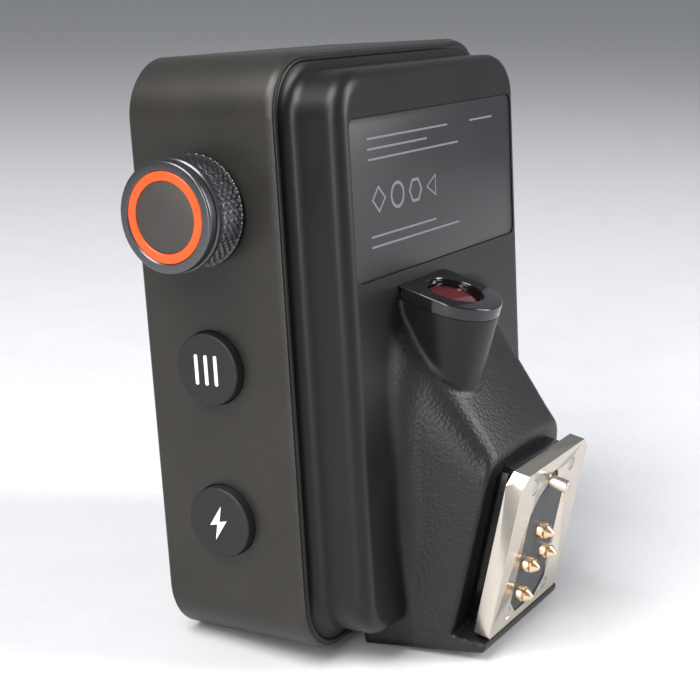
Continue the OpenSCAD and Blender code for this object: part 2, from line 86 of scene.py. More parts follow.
KNURL_LOW, KNURL_HIGH, KNURL_PITCH, KNURL_COUNT, KNURL_DEPTH = 24.35, 27.65, 0.94, 40, 0.28
DIAL_HOLE_R, JACK_HOLE_R, USB_HOLE, USB_HOLE_R = 3.7, 2.6, (4.7, 1.8), 1.75
WALL_CUT = (20.5, 25)

LEAN = math.atan(CHIN_DROP / CHIN_Y)
frame_low, frame_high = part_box("frame_shell")
X_MID = -500 * (frame_low.x + frame_high.x)
Y_MID = -(1000 * frame_low.y + BODY_H * math.sin(LEAN))

# ---- placing ----

STAND = (Matrix.Scale(0.001, 4) @ Matrix.Translation((-X_MID, -Y_MID, 0))
         @ Matrix.Rotation(LEAN, 4, "X"))
ON_FOOT = (Matrix.Translation((0, FOOT_TOP[0], FOOT_TOP[1]))
           @ Matrix.Rotation(-math.pi / 2 - FOOT_TILT, 4, "X"))
ON_LAMP = Matrix.Translation(LAMP_AT) @ Matrix.Rotation(-LAMP_TILT, 4, "X")
ON_BACK = Matrix.Rotation(math.pi / 2, 4, "X")


def on_side(z):
    """Local Z runs out along +X from the controls' axis at height z."""
    return Matrix.Translation((0, CONTROLS_Y, z)) @ Matrix.Rotation(math.pi / 2, 4, "Y")


def on_foot(place):
    return ON_FOOT @ Matrix.Translation((place[0], place[1], 0))


# ---- mesh helpers ----

def make(name, verts, faces, matrix=None):
    mesh = bpy.data.meshes.new(name)
    mesh.from_pydata([tuple(v) for v in verts], [], [tuple(f) for f in faces])
    bm = bmesh.new()
    bm.from_mesh(mesh)
    bmesh.ops.remove_doubles(bm, verts=bm.verts, dist=1e-5)
    bmesh.ops.recalc_face_normals(bm, faces=bm.faces)
    bm.to_mesh(mesh)
    bm.free()
    if matrix:
        mesh.transform(matrix)
    obj = bpy.data.objects.new(name, mesh)
    bpy.context.scene.collection.objects.link(obj)
    return obj


def bake(obj):
    """Applies the modifiers and leaves a plain mesh."""
    bpy.context.view_layer.update()
    graph = bpy.context.evaluated_depsgraph_get()
    mesh = bpy.data.meshes.new_from_object(obj.evaluated_get(graph))
    obj.modifiers.clear()
    obj.data = mesh
    return obj


def bevel(obj, width, segments=3, angle=35):
    mod = obj.modifiers.new("edge", "BEVEL")
    mod.width = width
    mod.segments = segments
    mod.limit_method = "ANGLE"
    mod.angle_limit = math.radians(angle)
    return bake(obj)


def cut(obj, cutters):
    for cutter in cutters:
        mod = obj.modifiers.new("cut", "BOOLEAN")
        mod.object = cutter
        mod.operation = "DIFFERENCE"
        mod.solver = "EXACT"
        bake(obj)
        bpy.data.objects.remove(cutter)
    return obj


def even_normals(obj):
    """Keeps flat faces flat next to rounded edges."""
    mod = obj.modifiers.new("normals", "WEIGHTED_NORMAL")
    mod.keep_sharp = True
    return bake(obj)


def prism(name, outline, h0, h1, matrix=None):
    n = len(outline)
    verts = [(x, y, h) for h in (h0, h1) for x, y in outline]
    sides = [(i, (i + 1) % n, n + (i + 1) % n, n + i) for i in range(n)]
    return make(name, verts, sides + [range(n), range(n, 2 * n)], matrix)


def rounded(low, high, r, steps=12):
    """Rounded rectangle as a list of points, counter-clockwise."""
    points = []
    corners = [(high[0] - r, low[1] + r, -90), (high[0] - r, high[1] - r, 0),
               (low[0] + r, high[1] - r, 90), (low[0] + r, low[1] + r, 180)]
    for cx, cy, start in corners:
        for i in range(steps + 1):
            a = math.radians(start + 90 * i / steps)
            points.append((cx + r * math.cos(a), cy + r * math.sin(a)))
    return points


def disc(r, at=(0, 0), steps=48):
    turn = 2 * math.pi / steps
    return [(at[0] + r * math.cos(i * turn), at[1] + r * math.sin(i * turn))
            for i in range(steps)]


def ring_sweep(name, profile):
    """Sweeps a closed profile of (inset, y) round the frame's outline."""
    loops = [rounded((-HALF_W + d, d), (HALF_W - d, BODY_H - d), CORNER_R - d, 20)
             for d, _ in profile]
    n, rows = len(loops[0]), len(profile)
    verts = [(x, profile[k][1], z) for k in range(rows) for x, z in loops[k]]
    faces = [(k * n + i, k * n + (i + 1) % n, (k + 1) % rows * n + (i + 1) % n,
              (k + 1) % rows * n + i) for k in range(rows) for i in range(n)]
    return make(name, verts, faces)


def lathe(name, profile, matrix, steps=96, closed=False, wobble=None):
    """Turns a profile of (radius, height) about local Z. A closed profile makes a ring."""
    rows = len(profile)
    verts = []
    for r, h in profile:
        for i in range(steps):
            a = 2 * math.pi * i / steps
            q = r - (wobble(a, r, h) if wobble else 0)
            verts.append((q * math.cos(a), q * math.sin(a), h))
    faces = []
    for k in range(rows if closed else rows - 1):
        m = (k + 1) % rows
        for i in range(steps):
            j = (i + 1) % steps
            faces.append((k * steps + i, k * steps + j, m * steps + j, m * steps + i))
    obj = make(name, verts, faces, matrix)
    return obj


def arc(cx, cy, r, start, end, steps=6):
    return [(cx + r * math.cos(math.radians(start + (end - start) * i / steps)),
             cy + r * math.sin(math.radians(start + (end - start) * i / steps)))
            for i in range(steps + 1)]


def copy_node(node, name, width, segments=3):
    """A copy of a CAD node's shape, with its sharp edges rounded if a width is given."""
    mesh = frame["nodes"][node].data.copy()
    bm = bmesh.new()
    bm.from_mesh(mesh)
    bmesh.ops.remove_doubles(bm, verts=bm.verts, dist=2e-6)
    if width:
        bmesh.ops.dissolve_limit(bm, angle_limit=math.radians(0.6), verts=bm.verts,
                                 edges=bm.edges)
    bmesh.ops.recalc_face_normals(bm, faces=bm.faces)
    bm.to_mesh(mesh)
    bm.free()
    obj = bpy.data.objects.new(name, mesh)
    bpy.context.scene.collection.objects.link(obj)
    return bevel(obj, width / 1000, segments) if width else obj


# ---- smooth body of the rear cover ----

def smooth_min(a, b, k):
    """The smaller of two fields, blended over a width."""
    blend = np.maximum(k - np.abs(a - b), 0) / k
    return np.minimum(a, b) - blend * blend * k / 4


def smooth_max(a, b, k):
    return -smooth_min(-a, -b, k)


def outline_field(x, z, half, low, high, r):
    """Distance from a rounded rectangle, negative inside it."""
    qx = np.abs(x) - half + r
    qz = np.abs(z - (low + high) / 2) - (high - low) / 2 + r
    outside = np.hypot(np.maximum(qx, 0), np.maximum(qz, 0))
    return outside + np.minimum(np.maximum(qx, qz), 0) - r


def pod_field(x, y, z):
    across = outline_field(x, z, POD_HALF, POD_LOW, POD_HIGH, POD_R) + POD_EDGE
    along = y - POD_Y + POD_EDGE
    corner = np.hypot(np.maximum(across, 0), np.maximum(along, 0))
    return np.minimum(np.maximum(across, along), 0) + corner - POD_EDGE


def wedge_field(x, y, z, inset, softness):
    """The wedge that carries the foot, moved inward by a distance."""
    sin_t, cos_t = math.sin(FOOT_TILT), math.cos(FOOT_TILT)
    dy, dz = y - FOOT_TOP[0], z - FOOT_TOP[1]
    s, h = -dy * sin_t - dz * cos_t, dy * cos_t - dz * sin_t
    end_y = FOOT_TOP[0] + 1.2 * sin_t + END_H * cos_t
    end_z = FOOT_TOP[1] + 1.2 * cos_t - END_H * sin_t
    run = Vector((end_y - POD_Y, end_z - WEDGE_TOP)).normalized()
    near_pod = np.clip((end_y - y) / (end_y - POD_Y), 0, 1)
    slope = (y - POD_Y) * -run.y + (z - WEDGE_TOP) * run.x + inset
    slope = slope + 0.015 * x * x * (0.45 + 0.55 * near_pod)
    far_y = FOOT_TOP[0] - LIP_S * sin_t
    taper = (WEDGE_NEAR - WEDGE_FAR) / (far_y - CHIN_Y + 1)
    width = np.maximum(WEDGE_FAR, WEDGE_NEAR - taper * (y - CHIN_Y + 1))
    side = np.abs(x) - width + inset
    chin = -CHIN_DROP - z + inset
    d = smooth_max(slope, side, softness * (0.7 + 0.7 * near_pod))
    d = smooth_max(d, h - END_H + inset * 0.8, 0.7)
    d = smooth_max(d, chin, 0.8)
    if inset == 0:
        lip = np.maximum(np.maximum(LIP_S - s, side), END_H - 3 - h)
        lip = smooth_max(smooth_max(lip, h - 0.1, 0.3), chin, 0.8)
        d = np.minimum(d, lip)
    return np.maximum(d, CHIN_Y + inset - y)


def tower_field(x, y, z):
    """The lamp's tower: round towards the foot, with straight sides back to the pod."""
    dx, dy, dz = x - LAMP_AT[0], y - LAMP_AT[1], z - LAMP_AT[2]
    v = dy * math.cos(LAMP_TILT) - dz * math.sin(LAMP_TILT)
    w = dy * math.sin(LAMP_TILT) + dz * math.cos(LAMP_TILT)
    r = np.interp(w, [TOWER_LOW, -LAMP_CAP], [TOWER_LOW_R, LAMP_R])
    out = np.interp(w, [TOWER_LOW, -LAMP_CAP], [TOWER_OUT, 0])
    d = np.hypot(dx, np.maximum(v - out, 0)) - r
    return np.maximum(np.maximum(d, w + LAMP_CAP - 0.6), np.maximum(TOWER_LOW - w, -v - 4.2))


def tower_distance(at):
    return float(tower_field(at.x, at.y, at.z))


def cover_field(x, y, z):
    """The rear cover: flange, pod, wedge and tower, less the hollow inside."""
    flange = outline_field(x, z, HALF_W - 0.5, 0.5, BODY_H - 0.5, CORNER_R - 0.5)
    flange = np.maximum(flange, y - FRAME_D - 0.05)
    d = smooth_min(pod_field(x, y, z), flange, 1.6)
    rise = np.clip((z - 1) / 14, 0, 1)
    fade = np.clip((WEDGE_TOP + 0.5 - z) / 4, 0.12, 1)
    fillet = 0.4 + 2.2 * rise * rise * (3 - 2 * rise) * fade
    d = smooth_min(d, wedge_field(x, y, z, 0, 3.6), fillet)
    d = smooth_min(d, tower_field(x, y, z), 0.5)
    d = np.maximum(d, FRAME_D - 1.2 - y)
    hollow = outline_field(x, z, HOLLOW_HALF, HOLLOW_LOW, HOLLOW_HIGH, HOLLOW_R)
    hollow = np.maximum(hollow, y - POD_Y + COVER_T)
    hollow = np.minimum(hollow, wedge_field(x, y, z, WEDGE_T, 2.0))
    return np.maximum(d, -hollow)


def crossing_places(value):
    """For each cell, the mean place of its edges' zero crossings, and which cells have one."""
    shape = tuple(n - 1 for n in value.shape)
    total = np.zeros(shape + (3,))
    count = np.zeros(shape)
    for axis in range(3):
        others = [a for a in range(3) if a != axis]
        for da in (0, 1):
            for db in (0, 1):
                start = [0, 0, 0]
                start[others[0]], start[others[1]] = da, db
                near = tuple(slice(start[a], start[a] + shape[a]) for a in range(3))
                start[axis] = 1
                far = tuple(slice(start[a], start[a] + shape[a]) for a in range(3))
                a, b = value[near], value[far]
                crossed = (a < 0) != (b < 0)
                share = np.where(crossed, a / np.where(crossed, a - b, 1), 0)
                offset = [0.0, 0.0, 0.0]
                offset[others[0]], offset[others[1]] = da, db
                for k in range(3):
                    total[..., k] += np.where(crossed, share if k == axis else offset[k], 0)
                count += crossed
    used = count > 0
    return total[used] / count[used][:, None], used


def crossing_quads(value, index):
    """One quad for each grid edge that the surface crosses, from the cells round it."""
    quads = []
    for axis in range(3):
        u, v = [(1, 2), (2, 0), (0, 1)][axis]
        inside = value < 0
        near = [slice(1, -1)] * 3
        far = [slice(1, -1)] * 3
        near[axis], far[axis] = slice(0, -1), slice(1, None)
        flips = np.argwhere(inside[tuple(near)] != inside[tuple(far)])
        flips = flips + [0 if a == axis else 1 for a in range(3)]
        ring = []
        for du, dv in ((0, 0), (1, 0), (1, 1), (0, 1)):
            cell = flips.copy()
            cell[:, u] -= du
            cell[:, v] -= dv
            ring.append(index[cell[:, 0], cell[:, 1], cell[:, 2]])
        quads.append(np.stack(ring, 1))
    return np.concatenate(quads)


def surface_net(field, low, high, step):
    """Meshes the zero surface of a field: one vertex per crossed cell, then two Newton steps."""
    axes = [np.arange(a, b + step, step) for a, b in zip(low, high)]
    value = field(*np.meshgrid(*axes, indexing="ij"))
    places, used = crossing_places(value)
    index = -np.ones(used.shape, int)
    index[used] = np.arange(used.sum())
    points = np.array(low) + (np.argwhere(used) + places) * step
    for _ in range(2):
        points = newton_step(field, points, step)
    return points, crossing_quads(value, index)


def newton_step(field, points, step):
    """Moves points towards the zero surface, by no more than part of a cell."""
    probe = 0.02
    at = [points[:, k] for k in range(3)]
    value = field(*at)
    slope = np.zeros_like(points)
    for k in range(3):
        moved = [p + probe * (k == j) for j, p in enumerate(at)]
        slope[:, k] = (field(*moved) - value) / probe
    size = np.maximum((slope ** 2).sum(1), 0.25)
    shift = -slope * (value / size)[:, None]
    return points + np.clip(shift, -0.4 * step, 0.4 * step)


# ---- materials ----

def textures(nodes, links, grain, stretch, cells):
    """The outputs of a fine and a broad texture in the object's own coordinates."""
    place = nodes.new("ShaderNodeTexCoord")
    mapping = nodes.new("ShaderNodeMapping")
    mapping.inputs["Scale"].default_value = stretch
    links.new(place.outputs["Object"], mapping.inputs["Vector"])
    fine = nodes.new("ShaderNodeTexVoronoi" if cells else "ShaderNodeTexNoise")
    fine.inputs["Scale"].default_value = 1000 / grain
    broad = nodes.new("ShaderNodeTexNoise")
    broad.inputs["Scale"].default_value = 90
    broad.inputs["Detail"].default_value = 6
    for texture in (fine, broad):
        links.new(mapping.outputs["Vector"], texture.inputs["Vector"])
    return fine.outputs["Distance" if cells else "Fac"], broad.outputs["Fac"]


def mottled(nodes, links, height, broad, colour, tone):
    """A colour that gets darker and lighter by a share of itself with both textures."""
    ramp = nodes.new("ShaderNodeValToRGB")
    ramp.color_ramp.elements[0].position = 0.3
    ramp.color_ramp.elements[1].position = 0.7
    for element, gain in zip(ramp.color_ramp.elements, (1 - tone, 1 + tone)):
        element.color = [min(1, c * gain) for c in colour] + [1]
    mix = nodes.new("ShaderNodeMath")
    mix.operation = "MULTIPLY_ADD"
    mix.inputs[1].default_value = 0.5
    half = nodes.new("ShaderNodeMath")
    half.operation = "MULTIPLY"
    half.inputs[1].default_value = 0.5
    links.new(broad, half.inputs[0])
    links.new(height, mix.inputs[0])
    links.new(half.outputs[0], mix.inputs[2])
    links.new(mix.outputs[0], ramp.inputs["Fac"])
    return ramp.outputs["Color"]


def finish(name, colour, rough, metal=0.0, grain=0.25, depth=0.01, tone=0.25, stretch=(1, 1, 1),
           cells=False, coat=0.0, clear=0.0, shine=0.5):
    """A procedural material. grain and depth are the surface's texture in millimetres."""
    mat = bpy.data.materials.new(name)
    mat.use_nodes = True
    nodes, links = mat.node_tree.nodes, mat.node_tree.links
    shader = nodes["Principled BSDF"]
    height, broad = textures(nodes, links, grain, stretch, cells)
    links.new(mottled(nodes, links, height, broad, colour, tone), shader.inputs["Base Color"])
    spread = nodes.new("ShaderNodeMapRange")
    spread.inputs["To Min"].default_value = max(0.02, rough * 0.82)
    spread.inputs["To Max"].default_value = min(1, rough * 1.18)
    links.new(broad, spread.inputs["Value"])
    links.new(spread.outputs["Result"], shader.inputs["Roughness"])
    bump = nodes.new("ShaderNodeBump")
    bump.inputs["Distance"].default_value = depth / 1000
    links.new(height, bump.inputs["Height"])
    links.new(bump.outputs["Normal"], shader.inputs["Normal"])
    shader.inputs["Metallic"].default_value = metal
    shader.inputs["Coat Weight"].default_value = coat
    shader.inputs["Coat Roughness"].default_value = 0.06
    shader.inputs["Transmission Weight"].default_value = clear
    shader.inputs["Specular IOR Level"].default_value = shine
    return mat


LOOKS = {
    "frame_paint": dict(colour=(.034, .031, .027), rough=.40, metal=.55, grain=.16, depth=.012),
    "screen_glass": dict(colour=(.006, .007, .008), rough=.06, grain=3, depth=.0005, coat=1),
    "black_tape": dict(colour=(.015, .015, .015), rough=.8),
    "display": dict(colour=(.02, .024, .03), rough=.15, grain=.1, depth=.001),
    "inner_plastic": dict(colour=(.035, .036, .04), rough=.6, grain=.3, depth=.01),
    "circuit_board": dict(colour=(.02, .13, .06), rough=.38, grain=.8, depth=.01, coat=.5),
    "tin_plate": dict(colour=(.55, .56, .57), rough=.3, metal=1, grain=.3, stretch=(1, 6, 1)),
    "copper": dict(colour=(.65, .38, .18), rough=.35, metal=1, grain=.4, tone=.12),
    "battery_foil": dict(colour=(.45, .47, .49), rough=.4, metal=.9, grain=.6, depth=.01),
    "foam": dict(colour=(.6, .58, .52), rough=.95, grain=.5, depth=.08, cells=True),
    "flex_film": dict(colour=(.45, .2, .05), rough=.3, grain=1, coat=.4),
    "jack_plastic": dict(colour=(.02, .02, .022), rough=.5),
    "cover_plastic": dict(colour=(.0045, .0045, .005), rough=.38, grain=.14, depth=.004, tone=.12,
                          shine=.32),
    "label_film": dict(colour=(.010, .0105, .0125), rough=.36, grain=.12, depth=.003, tone=.12),
    "gloss_black": dict(colour=(.004, .004, .005), rough=.15, grain=2, depth=.001, coat=.45,
                        shine=.4),
    "red_lens": dict(colour=(.16, .001, .004), rough=.08, grain=2, depth=.001, clear=.5, coat=1),
    "led_resin": dict(colour=(.8, .75, .5), rough=.2, clear=.3),
    "shoe_metal": dict(colour=(.66, .60, .52), rough=.25, metal=1, grain=.3, depth=.001, tone=.04,
                       stretch=(1, 1, 2)),
    "block_plastic": dict(colour=(.035, .037, .041), rough=.55, grain=.2, depth=.01),
    "contact_gold": dict(colour=(.82, .62, .40), rough=.2, metal=1, grain=.2, depth=.002, tone=.1),
    "spring_steel": dict(colour=(.6, .6, .62), rough=.3, metal=1, grain=.1, depth=.002),
    "screw_steel": dict(colour=(.5, .5, .51), rough=.3, metal=1, grain=.2, depth=.003),
    "dial_metal": dict(colour=(.10, .102, .108), rough=.28, metal=.9, grain=.12, depth=.003),
    "ring_paint": dict(colour=(.84, .075, .008), rough=.35, grain=.15, depth=.003, tone=.08),
    "face_plastic": dict(colour=(.032, .029, .026), rough=.55, grain=.15, depth=.006),
    "plunger_plastic": dict(colour=(.7, .67, .6), rough=.5),
    "button_rubber": dict(colour=(.004, .004, .0045), rough=.6, grain=.14, depth=.008),
}
materials = {slot: finish(slot, **look) for slot, look in LOOKS.items()}
cover_grain = finish("cover_grain", (.0055, .0055, .006), .44, grain=.40, depth=.042, tone=.12,
                     cells=True, shine=.4)
print_white = finish("print_white", (.85, .85, .84), .5, grain=.1, depth=.002, tone=.04)
print_grey = finish("print_grey", (.15, .155, .165), .5, grain=.1, depth=.002, tone=.08)


def done(obj, slot, body="root", nodes=(), material=None, smooth=35, placed=False, even=False):
    """Stands a piece on the table, finishes it and lets it ride on its body."""
    if not placed:
        obj.data.transform(STAND)
    obj.data.shade_smooth()
    obj.data.set_sharp_from_angle(angle=math.radians(smooth))
    obj.data.materials.clear()
    obj.data.materials.append(material or materials[slot])
    if even:
        even_normals(obj)
    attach(obj, body)
    if nodes:
        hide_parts(*nodes)
    return obj


# ---- casing ----

def build_frame():
    profile = [(0.3, 0), (0, 0.35), (0, FRAME_D - 0.9), (0.32, FRAME_D), (WALL, FRAME_D),
               (WALL, LEDGE_BACK), (LEDGE_IN, LEDGE_BACK), (LEDGE_IN, LEDGE_FRONT),
               (GLASS_SEAT, LEDGE_FRONT), (GLASS_SEAT, 0)]
    body = ring_sweep("frame_band", profile)
    near, far = WALL_CUT
    holes = [prism("hole", disc(r), near, far, on_side(z))
             for r, z in ((DIAL_HOLE_R, DIAL_Z), (BUTTON_R + 0.12, MENU_Z),
                          (BUTTON_R + 0.12, TEST_Z))]
    ports = ((disc(JACK_HOLE_R), JACK_Y, JACK_Z),
             (rounded((-USB_HOLE[0], -USB_HOLE[1]), USB_HOLE, USB_HOLE_R), USB_Y, USB_Z))
    for outline, y, z in ports:
        away = Matrix.Translation((0, y, z)) @ Matrix.Rotation(math.pi / 2, 4, "Y")
        holes.append(prism("hole", outline, -far, -near, away))
    cut(body, holes)
    bevel(body, 0.1, 2, 30)
    done(body, "frame_paint", nodes=["frame_shell"], even=True)
    bead = ring_sweep("flange_bead", [(0.62, FRAME_D - 0.1)]
                      + [(0.62 + 0.3 - 0.3 * math.cos(a), FRAME_D - 0.05 + 0.28 * math.sin(a))
                         for a in np.linspace(0, math.pi, 9)] + [(1.22, FRAME_D - 0.1)])
    done(bead, "cover_plastic")


def build_cover():
    step = 0.3
    points, quads = surface_net(cover_field, (-24.3, 16.9, -2.7), (24.3, 36.9, 67.7), step)
    cover = make("rear_skin", points, quads)
    low = (LABEL_LOW[0] - GAP, LABEL_LOW[1] - GAP)
    high = (LABEL_HIGH[0] + GAP, LABEL_HIGH[1] + GAP)
    recess = prism("cut", rounded(low, high, LABEL_R + GAP), -POD_Y - 1, LABEL_DEPTH - POD_Y,
                   ON_BACK)
    bore = prism("cut", disc(LENS_R + 0.25, (0, LENS_Y)), LAMP_FLOOR, 1, ON_LAMP)
    mouth = prism("cut", rounded((-7.6, 1.4), (7.6, 19.7), 0.3, 3), -7, -1, ON_FOOT)
    seat = closed_loops("cut", [lamp_loop(LAMP_R + 0.6, -LAMP_CAP), lamp_loop(LAMP_R + 0.6, 1)],
                        ON_LAMP)
    cut(cover, [recess, bore, mouth, seat])
    grained = [POD_Y + 0.25 < face.center.y and face.center.z < WEDGE_TOP - 0.6
               and tower_distance(face.center) > 0.25 for face in cover.data.polygons]
    done(cover, "cover_plastic", nodes=["rear_cover"], smooth=42)
    cover.data.materials.append(cover_grain)
    cover.data.polygons.foreach_set("material_index", np.array(grained, np.int32))
    for i, (x, z) in enumerate(POSTS):
        tube = [(THREAD_R, 0.2), (0.95, 0), (2.0, 0), (POST_R, 0.2), (POST_R, 17.1),
                (THREAD_R, 17.1)]
        at = Matrix.Translation((x, 7, z)) @ Matrix.Rotation(-math.pi / 2, 4, "X")
        done(lathe(f"cover_post_{i + 1}", tube, at, 48, closed=True), "cover_plastic")


def build_label():
    plate = prism("rating_panel", rounded(LABEL_LOW, LABEL_HIGH, LABEL_R), GAP - POD_Y,
                  LABEL_DEPTH - POD_Y, ON_BACK)
    bevel(plate, 0.04, 2)
    done(plate, "label_film", nodes=["rating_label"])
    marks = [rounded((x, z), (x + w, z + 0.22), 0.1, 3)
             for x, z, w in ((-2.5, 57.4, 18), (2.5, 56.3, 13), (-5, 55.2, 20.5), (1, 47, 14.5),
                             (-4.5, 45.9, 20), (-14, 57.4, 6))]
    for i, mark in enumerate(marks):
        flat_mark(f"panel_rule_{i + 1}", mark)
    for i, x in enumerate((13.6, 9.6, 5.6, 1.6)):
        corners = (4, 32, 6, 3)[i]
        outer = disc(1.5, (x, 51), corners)
        inner = disc(1.15, (x, 51), corners)
        outline_mark(f"panel_sign_{i + 1}", outer, inner)


def flat_mark(name, outline):
    mark = prism(name, outline, MARK_TOP, MARK_LOW, ON_BACK)
    done(mark, "label_film", material=print_grey)


def outline_mark(name, outer, inner):
    n = len(outer)
    loops = [(outer, MARK_TOP), (inner, MARK_TOP), (inner, MARK_LOW), (outer, MARK_LOW)]
    verts = [(x, y, h) for loop, h in loops for x, y in loop]
    faces = [(k * n + i, k * n + (i + 1) % n, (k + 1) % 4 * n + (i + 1) % n, (k + 1) % 4 * n + i)
             for k in range(4) for i in range(n)]
    done(make(name, verts, faces, ON_BACK), "label_film", material=print_grey)


# ---- lamp ----

def lamp_edge(angle, r, h):
    """A point on the lamp's outline: a round end, straight sides and a back on the pod."""
    back = (LAMP_AT[1] - POD_Y - 0.02 + h * math.sin(LAMP_TILT)) / math.cos(LAMP_TILT)
    dx, dy = math.cos(angle), math.sin(angle)
    reach = math.sqrt(r * r - (LENS_Y * dx) ** 2) - LENS_Y * dy
    if LENS_Y + reach * dy < 0:
        reach = min(r / max(abs(dx), 1e-6), (back + LENS_Y) / max(-dy, 1e-6))
    return reach * dx, LENS_Y + reach * dy, h


def lamp_loop(r, h, steps=160):
    return [lamp_edge(2 * math.pi * i / steps, r, h) for i in range(steps)]


def round_loop(r, h, steps=160):
    turn = 2 * math.pi / steps
    return [(r * math.cos(i * turn), LENS_Y + r * math.sin(i * turn), h) for i in range(steps)]


def closed_loops(name, loops, matrix):
    """A solid between two loops with the same number of points."""
    n = len(loops[0])
    sides = [(i, (i + 1) % n, n + (i + 1) % n, n + i) for i in range(n)]
    return make(name, loops[0] + loops[1], sides + [range(n), range(n, 2 * n)], matrix)


def build_lamp():
    loops = [lamp_loop(LAMP_R - 0.08, -LAMP_CAP), lamp_loop(LAMP_R, -LAMP_CAP + 0.08)]
    loops += [lamp_loop(LAMP_R - 0.18 + q, h - 0.18) for q, h in arc(0, 0, 0.18, 0, 90, 5)]
    loops += [round_loop(RECESS_R + 0.06, 0), round_loop(RECESS_R, -0.06),
              round_loop(RECESS_R, -0.5), round_loop(LENS_R + 0.1, -0.5),
              round_loop(LENS_R + 0.1, -LAMP_CAP)]
    n, rows = len(loops[0]), len(loops)
    faces = [(k * n + i, k * n + (i + 1) % n, (k + 1) % rows * n + (i + 1) % n,
              (k + 1) % rows * n + i) for k in range(rows) for i in range(n)]
    cap = make("lamp_cap", [point for loop in loops for point in loop], faces, ON_LAMP)
    done(cap, "gloss_black", nodes=["lamp_bezel"], even=True)
    dome = [(0, -2.6), (2.9, -2.6), (2.9, -0.75)]
    dome += [(2.75 * math.cos(a), -0.75 + 0.4 * math.sin(a)) for a in np.linspace(0.15, 1.57, 8)]
    lens = lathe("lamp_window", dome + [(0, -0.35)], ON_LAMP @ Matrix.Translation((0, LENS_Y, 0)))
    done(lens, "red_lens", nodes=["lamp_lens"])


# ---- foot ----

def build_foot():
    for node, name, slot, width in (("shoe_plate", "foot_plate", "shoe_metal", 0),
                                    ("shoe_base", "foot_neck", "gloss_black", 0.1),
                                    ("contact_block", "contact_insert", "block_plastic", 0)):
        done(copy_node(node, name, width, 2), slot, nodes=[node], placed=True)
    low = COLLAR_H - COLLAR_T
    for i, place in enumerate(CONTACTS):
        tip = [(0, low), (COLLAR_R, low), (COLLAR_R, COLLAR_H), (PIN_R, COLLAR_H), (PIN_R, 0.35),
               (0.9, 0.45), (0.74, 0.52), (0.74, 0.66), (0.86, 0.75), (0.84, 0.82), (0.28, 1.5),
               (0.18, 1.57), (0, 1.6)]
        node = f"contact_pin_{i + 1}"
        done(lathe(f"contact_tip_{i + 1}", tip, on_foot(place), 48), "contact_gold", node, [node])
        coil(f"contact_spring_{i + 1}", place, 1.0)
    pin = [(0, low), (0.95, low), (0.95, COLLAR_H), (LOCK_R, COLLAR_H), (LOCK_R, 1.8), (0.69, 1.93),
           (0.55, 2), (0, 2)]
    done(lathe("locating_pin", pin, on_foot(LOCK), 48), "shoe_metal", "lock_pin", ["lock_pin"])
    coil("lock_spring", LOCK, LOCK_R)


def coil(node, place, r):
    """A helical spring, wound along its pin's own direction."""
    wire, turns, sides, steps = 0.14, 5, 8, 120
    length = COLLAR_H - COLLAR_T - BLOCK_IN
    verts = []
    for i in range(steps + 1):
        a = 2 * math.pi * turns * i / steps
        rise = BLOCK_IN + wire + (length - 2 * wire) * i / steps
        for j in range(sides):
            b = 2 * math.pi * j / sides
            q = r + wire * math.cos(b)
            verts.append((q * math.cos(a), q * math.sin(a), rise + wire * math.sin(b)))
    faces = [(i * sides + j, i * sides + (j + 1) % sides, (i + 1) * sides + (j + 1) % sides,
              (i + 1) * sides + j) for i in range(steps) for j in range(sides)]
    faces += [range(sides), range(steps * sides, (steps + 1) * sides)]
    spring = make(node + "_coil", verts, faces, on_foot(place))
    done(spring, "spring_steel", nodes=[node])
    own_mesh(spring)


# ---- dial ----

def knurl(a, r, h):
    """Depth of a diamond knurl round the dial's grip."""
    if r < DIAL_R - 0.01 or h < KNURL_LOW or h > KNURL_HIGH:
        return 0
    turn = KNURL_COUNT * a / (2 * math.pi)
    climb = (h - KNURL_LOW) / KNURL_PITCH
    ridge = [1 - abs(2 * ((turn + sign * climb) % 1) - 1) for sign in (1, -1)]
    return KNURL_DEPTH * (1 - min(ridge))


def build_dial():
    axis = on_side(DIAL_Z)
    outer = [(DIAL_R - 0.25, DIAL_BACK), (DIAL_R, DIAL_BACK + 0.25)]
    outer += [(DIAL_R, h) for h in np.arange(KNURL_LOW, KNURL_HIGH + 0.01, 0.085)]
    outer += [(DIAL_R - 0.05, 27.72), (DIAL_R - 0.05, 28.27), (DIAL_R - 0.2, DIAL_SEAM)]
    skirt = DIAL_BACK + DIAL_SKIRT
    inner = [(DIAL_BORE_R, DIAL_SEAM), (DIAL_BORE_R, skirt), (DIAL_RECESS_R, skirt),
             (DIAL_RECESS_R, DIAL_BACK)]
    knob = lathe("dial_grip", outer + inner, axis, 480, closed=True, wobble=knurl)
    done(knob, "dial_metal", "dial", ["dial_knob"], smooth=28)
    floor = DIAL_FRONT - DIAL_RECESS
    rim = [(0, DIAL_SEAM), (5.75, DIAL_SEAM), (5.75, DIAL_SEAM + 0.16), (5.95, DIAL_SEAM + 0.26)]
    rim += arc(5.65, DIAL_FRONT - 0.3, 0.3, 0, 90, 6)
    rim += [(5.0, DIAL_FRONT), (DIAL_RECESS_R, DIAL_FRONT - 0.1), (DIAL_RECESS_R, floor),
            (0, floor)]
    done(lathe("dial_front", rim, axis, 128), "dial_metal", "dial", ["dial_cap"])
    band = [(RING_IN, floor), (RING_OUT, floor), (RING_OUT, floor + 0.38), (4.78, floor + 0.45),
            (3.92, floor + 0.45), (RING_IN, floor + 0.38)]
    ring = lathe("dial_colour_ring", band, axis, 128, closed=True)
    done(ring, "ring_paint", "dial", ["dial_ring"])
    face = [(0, floor), (FACE_R, floor), (FACE_R, floor + 0.33), (3.72, floor + 0.38),
            (0, floor + 0.36)]
    done(lathe("dial_disc", face, axis, 96), "face_plastic", "dial", ["dial_face"])


# ---- buttons ----

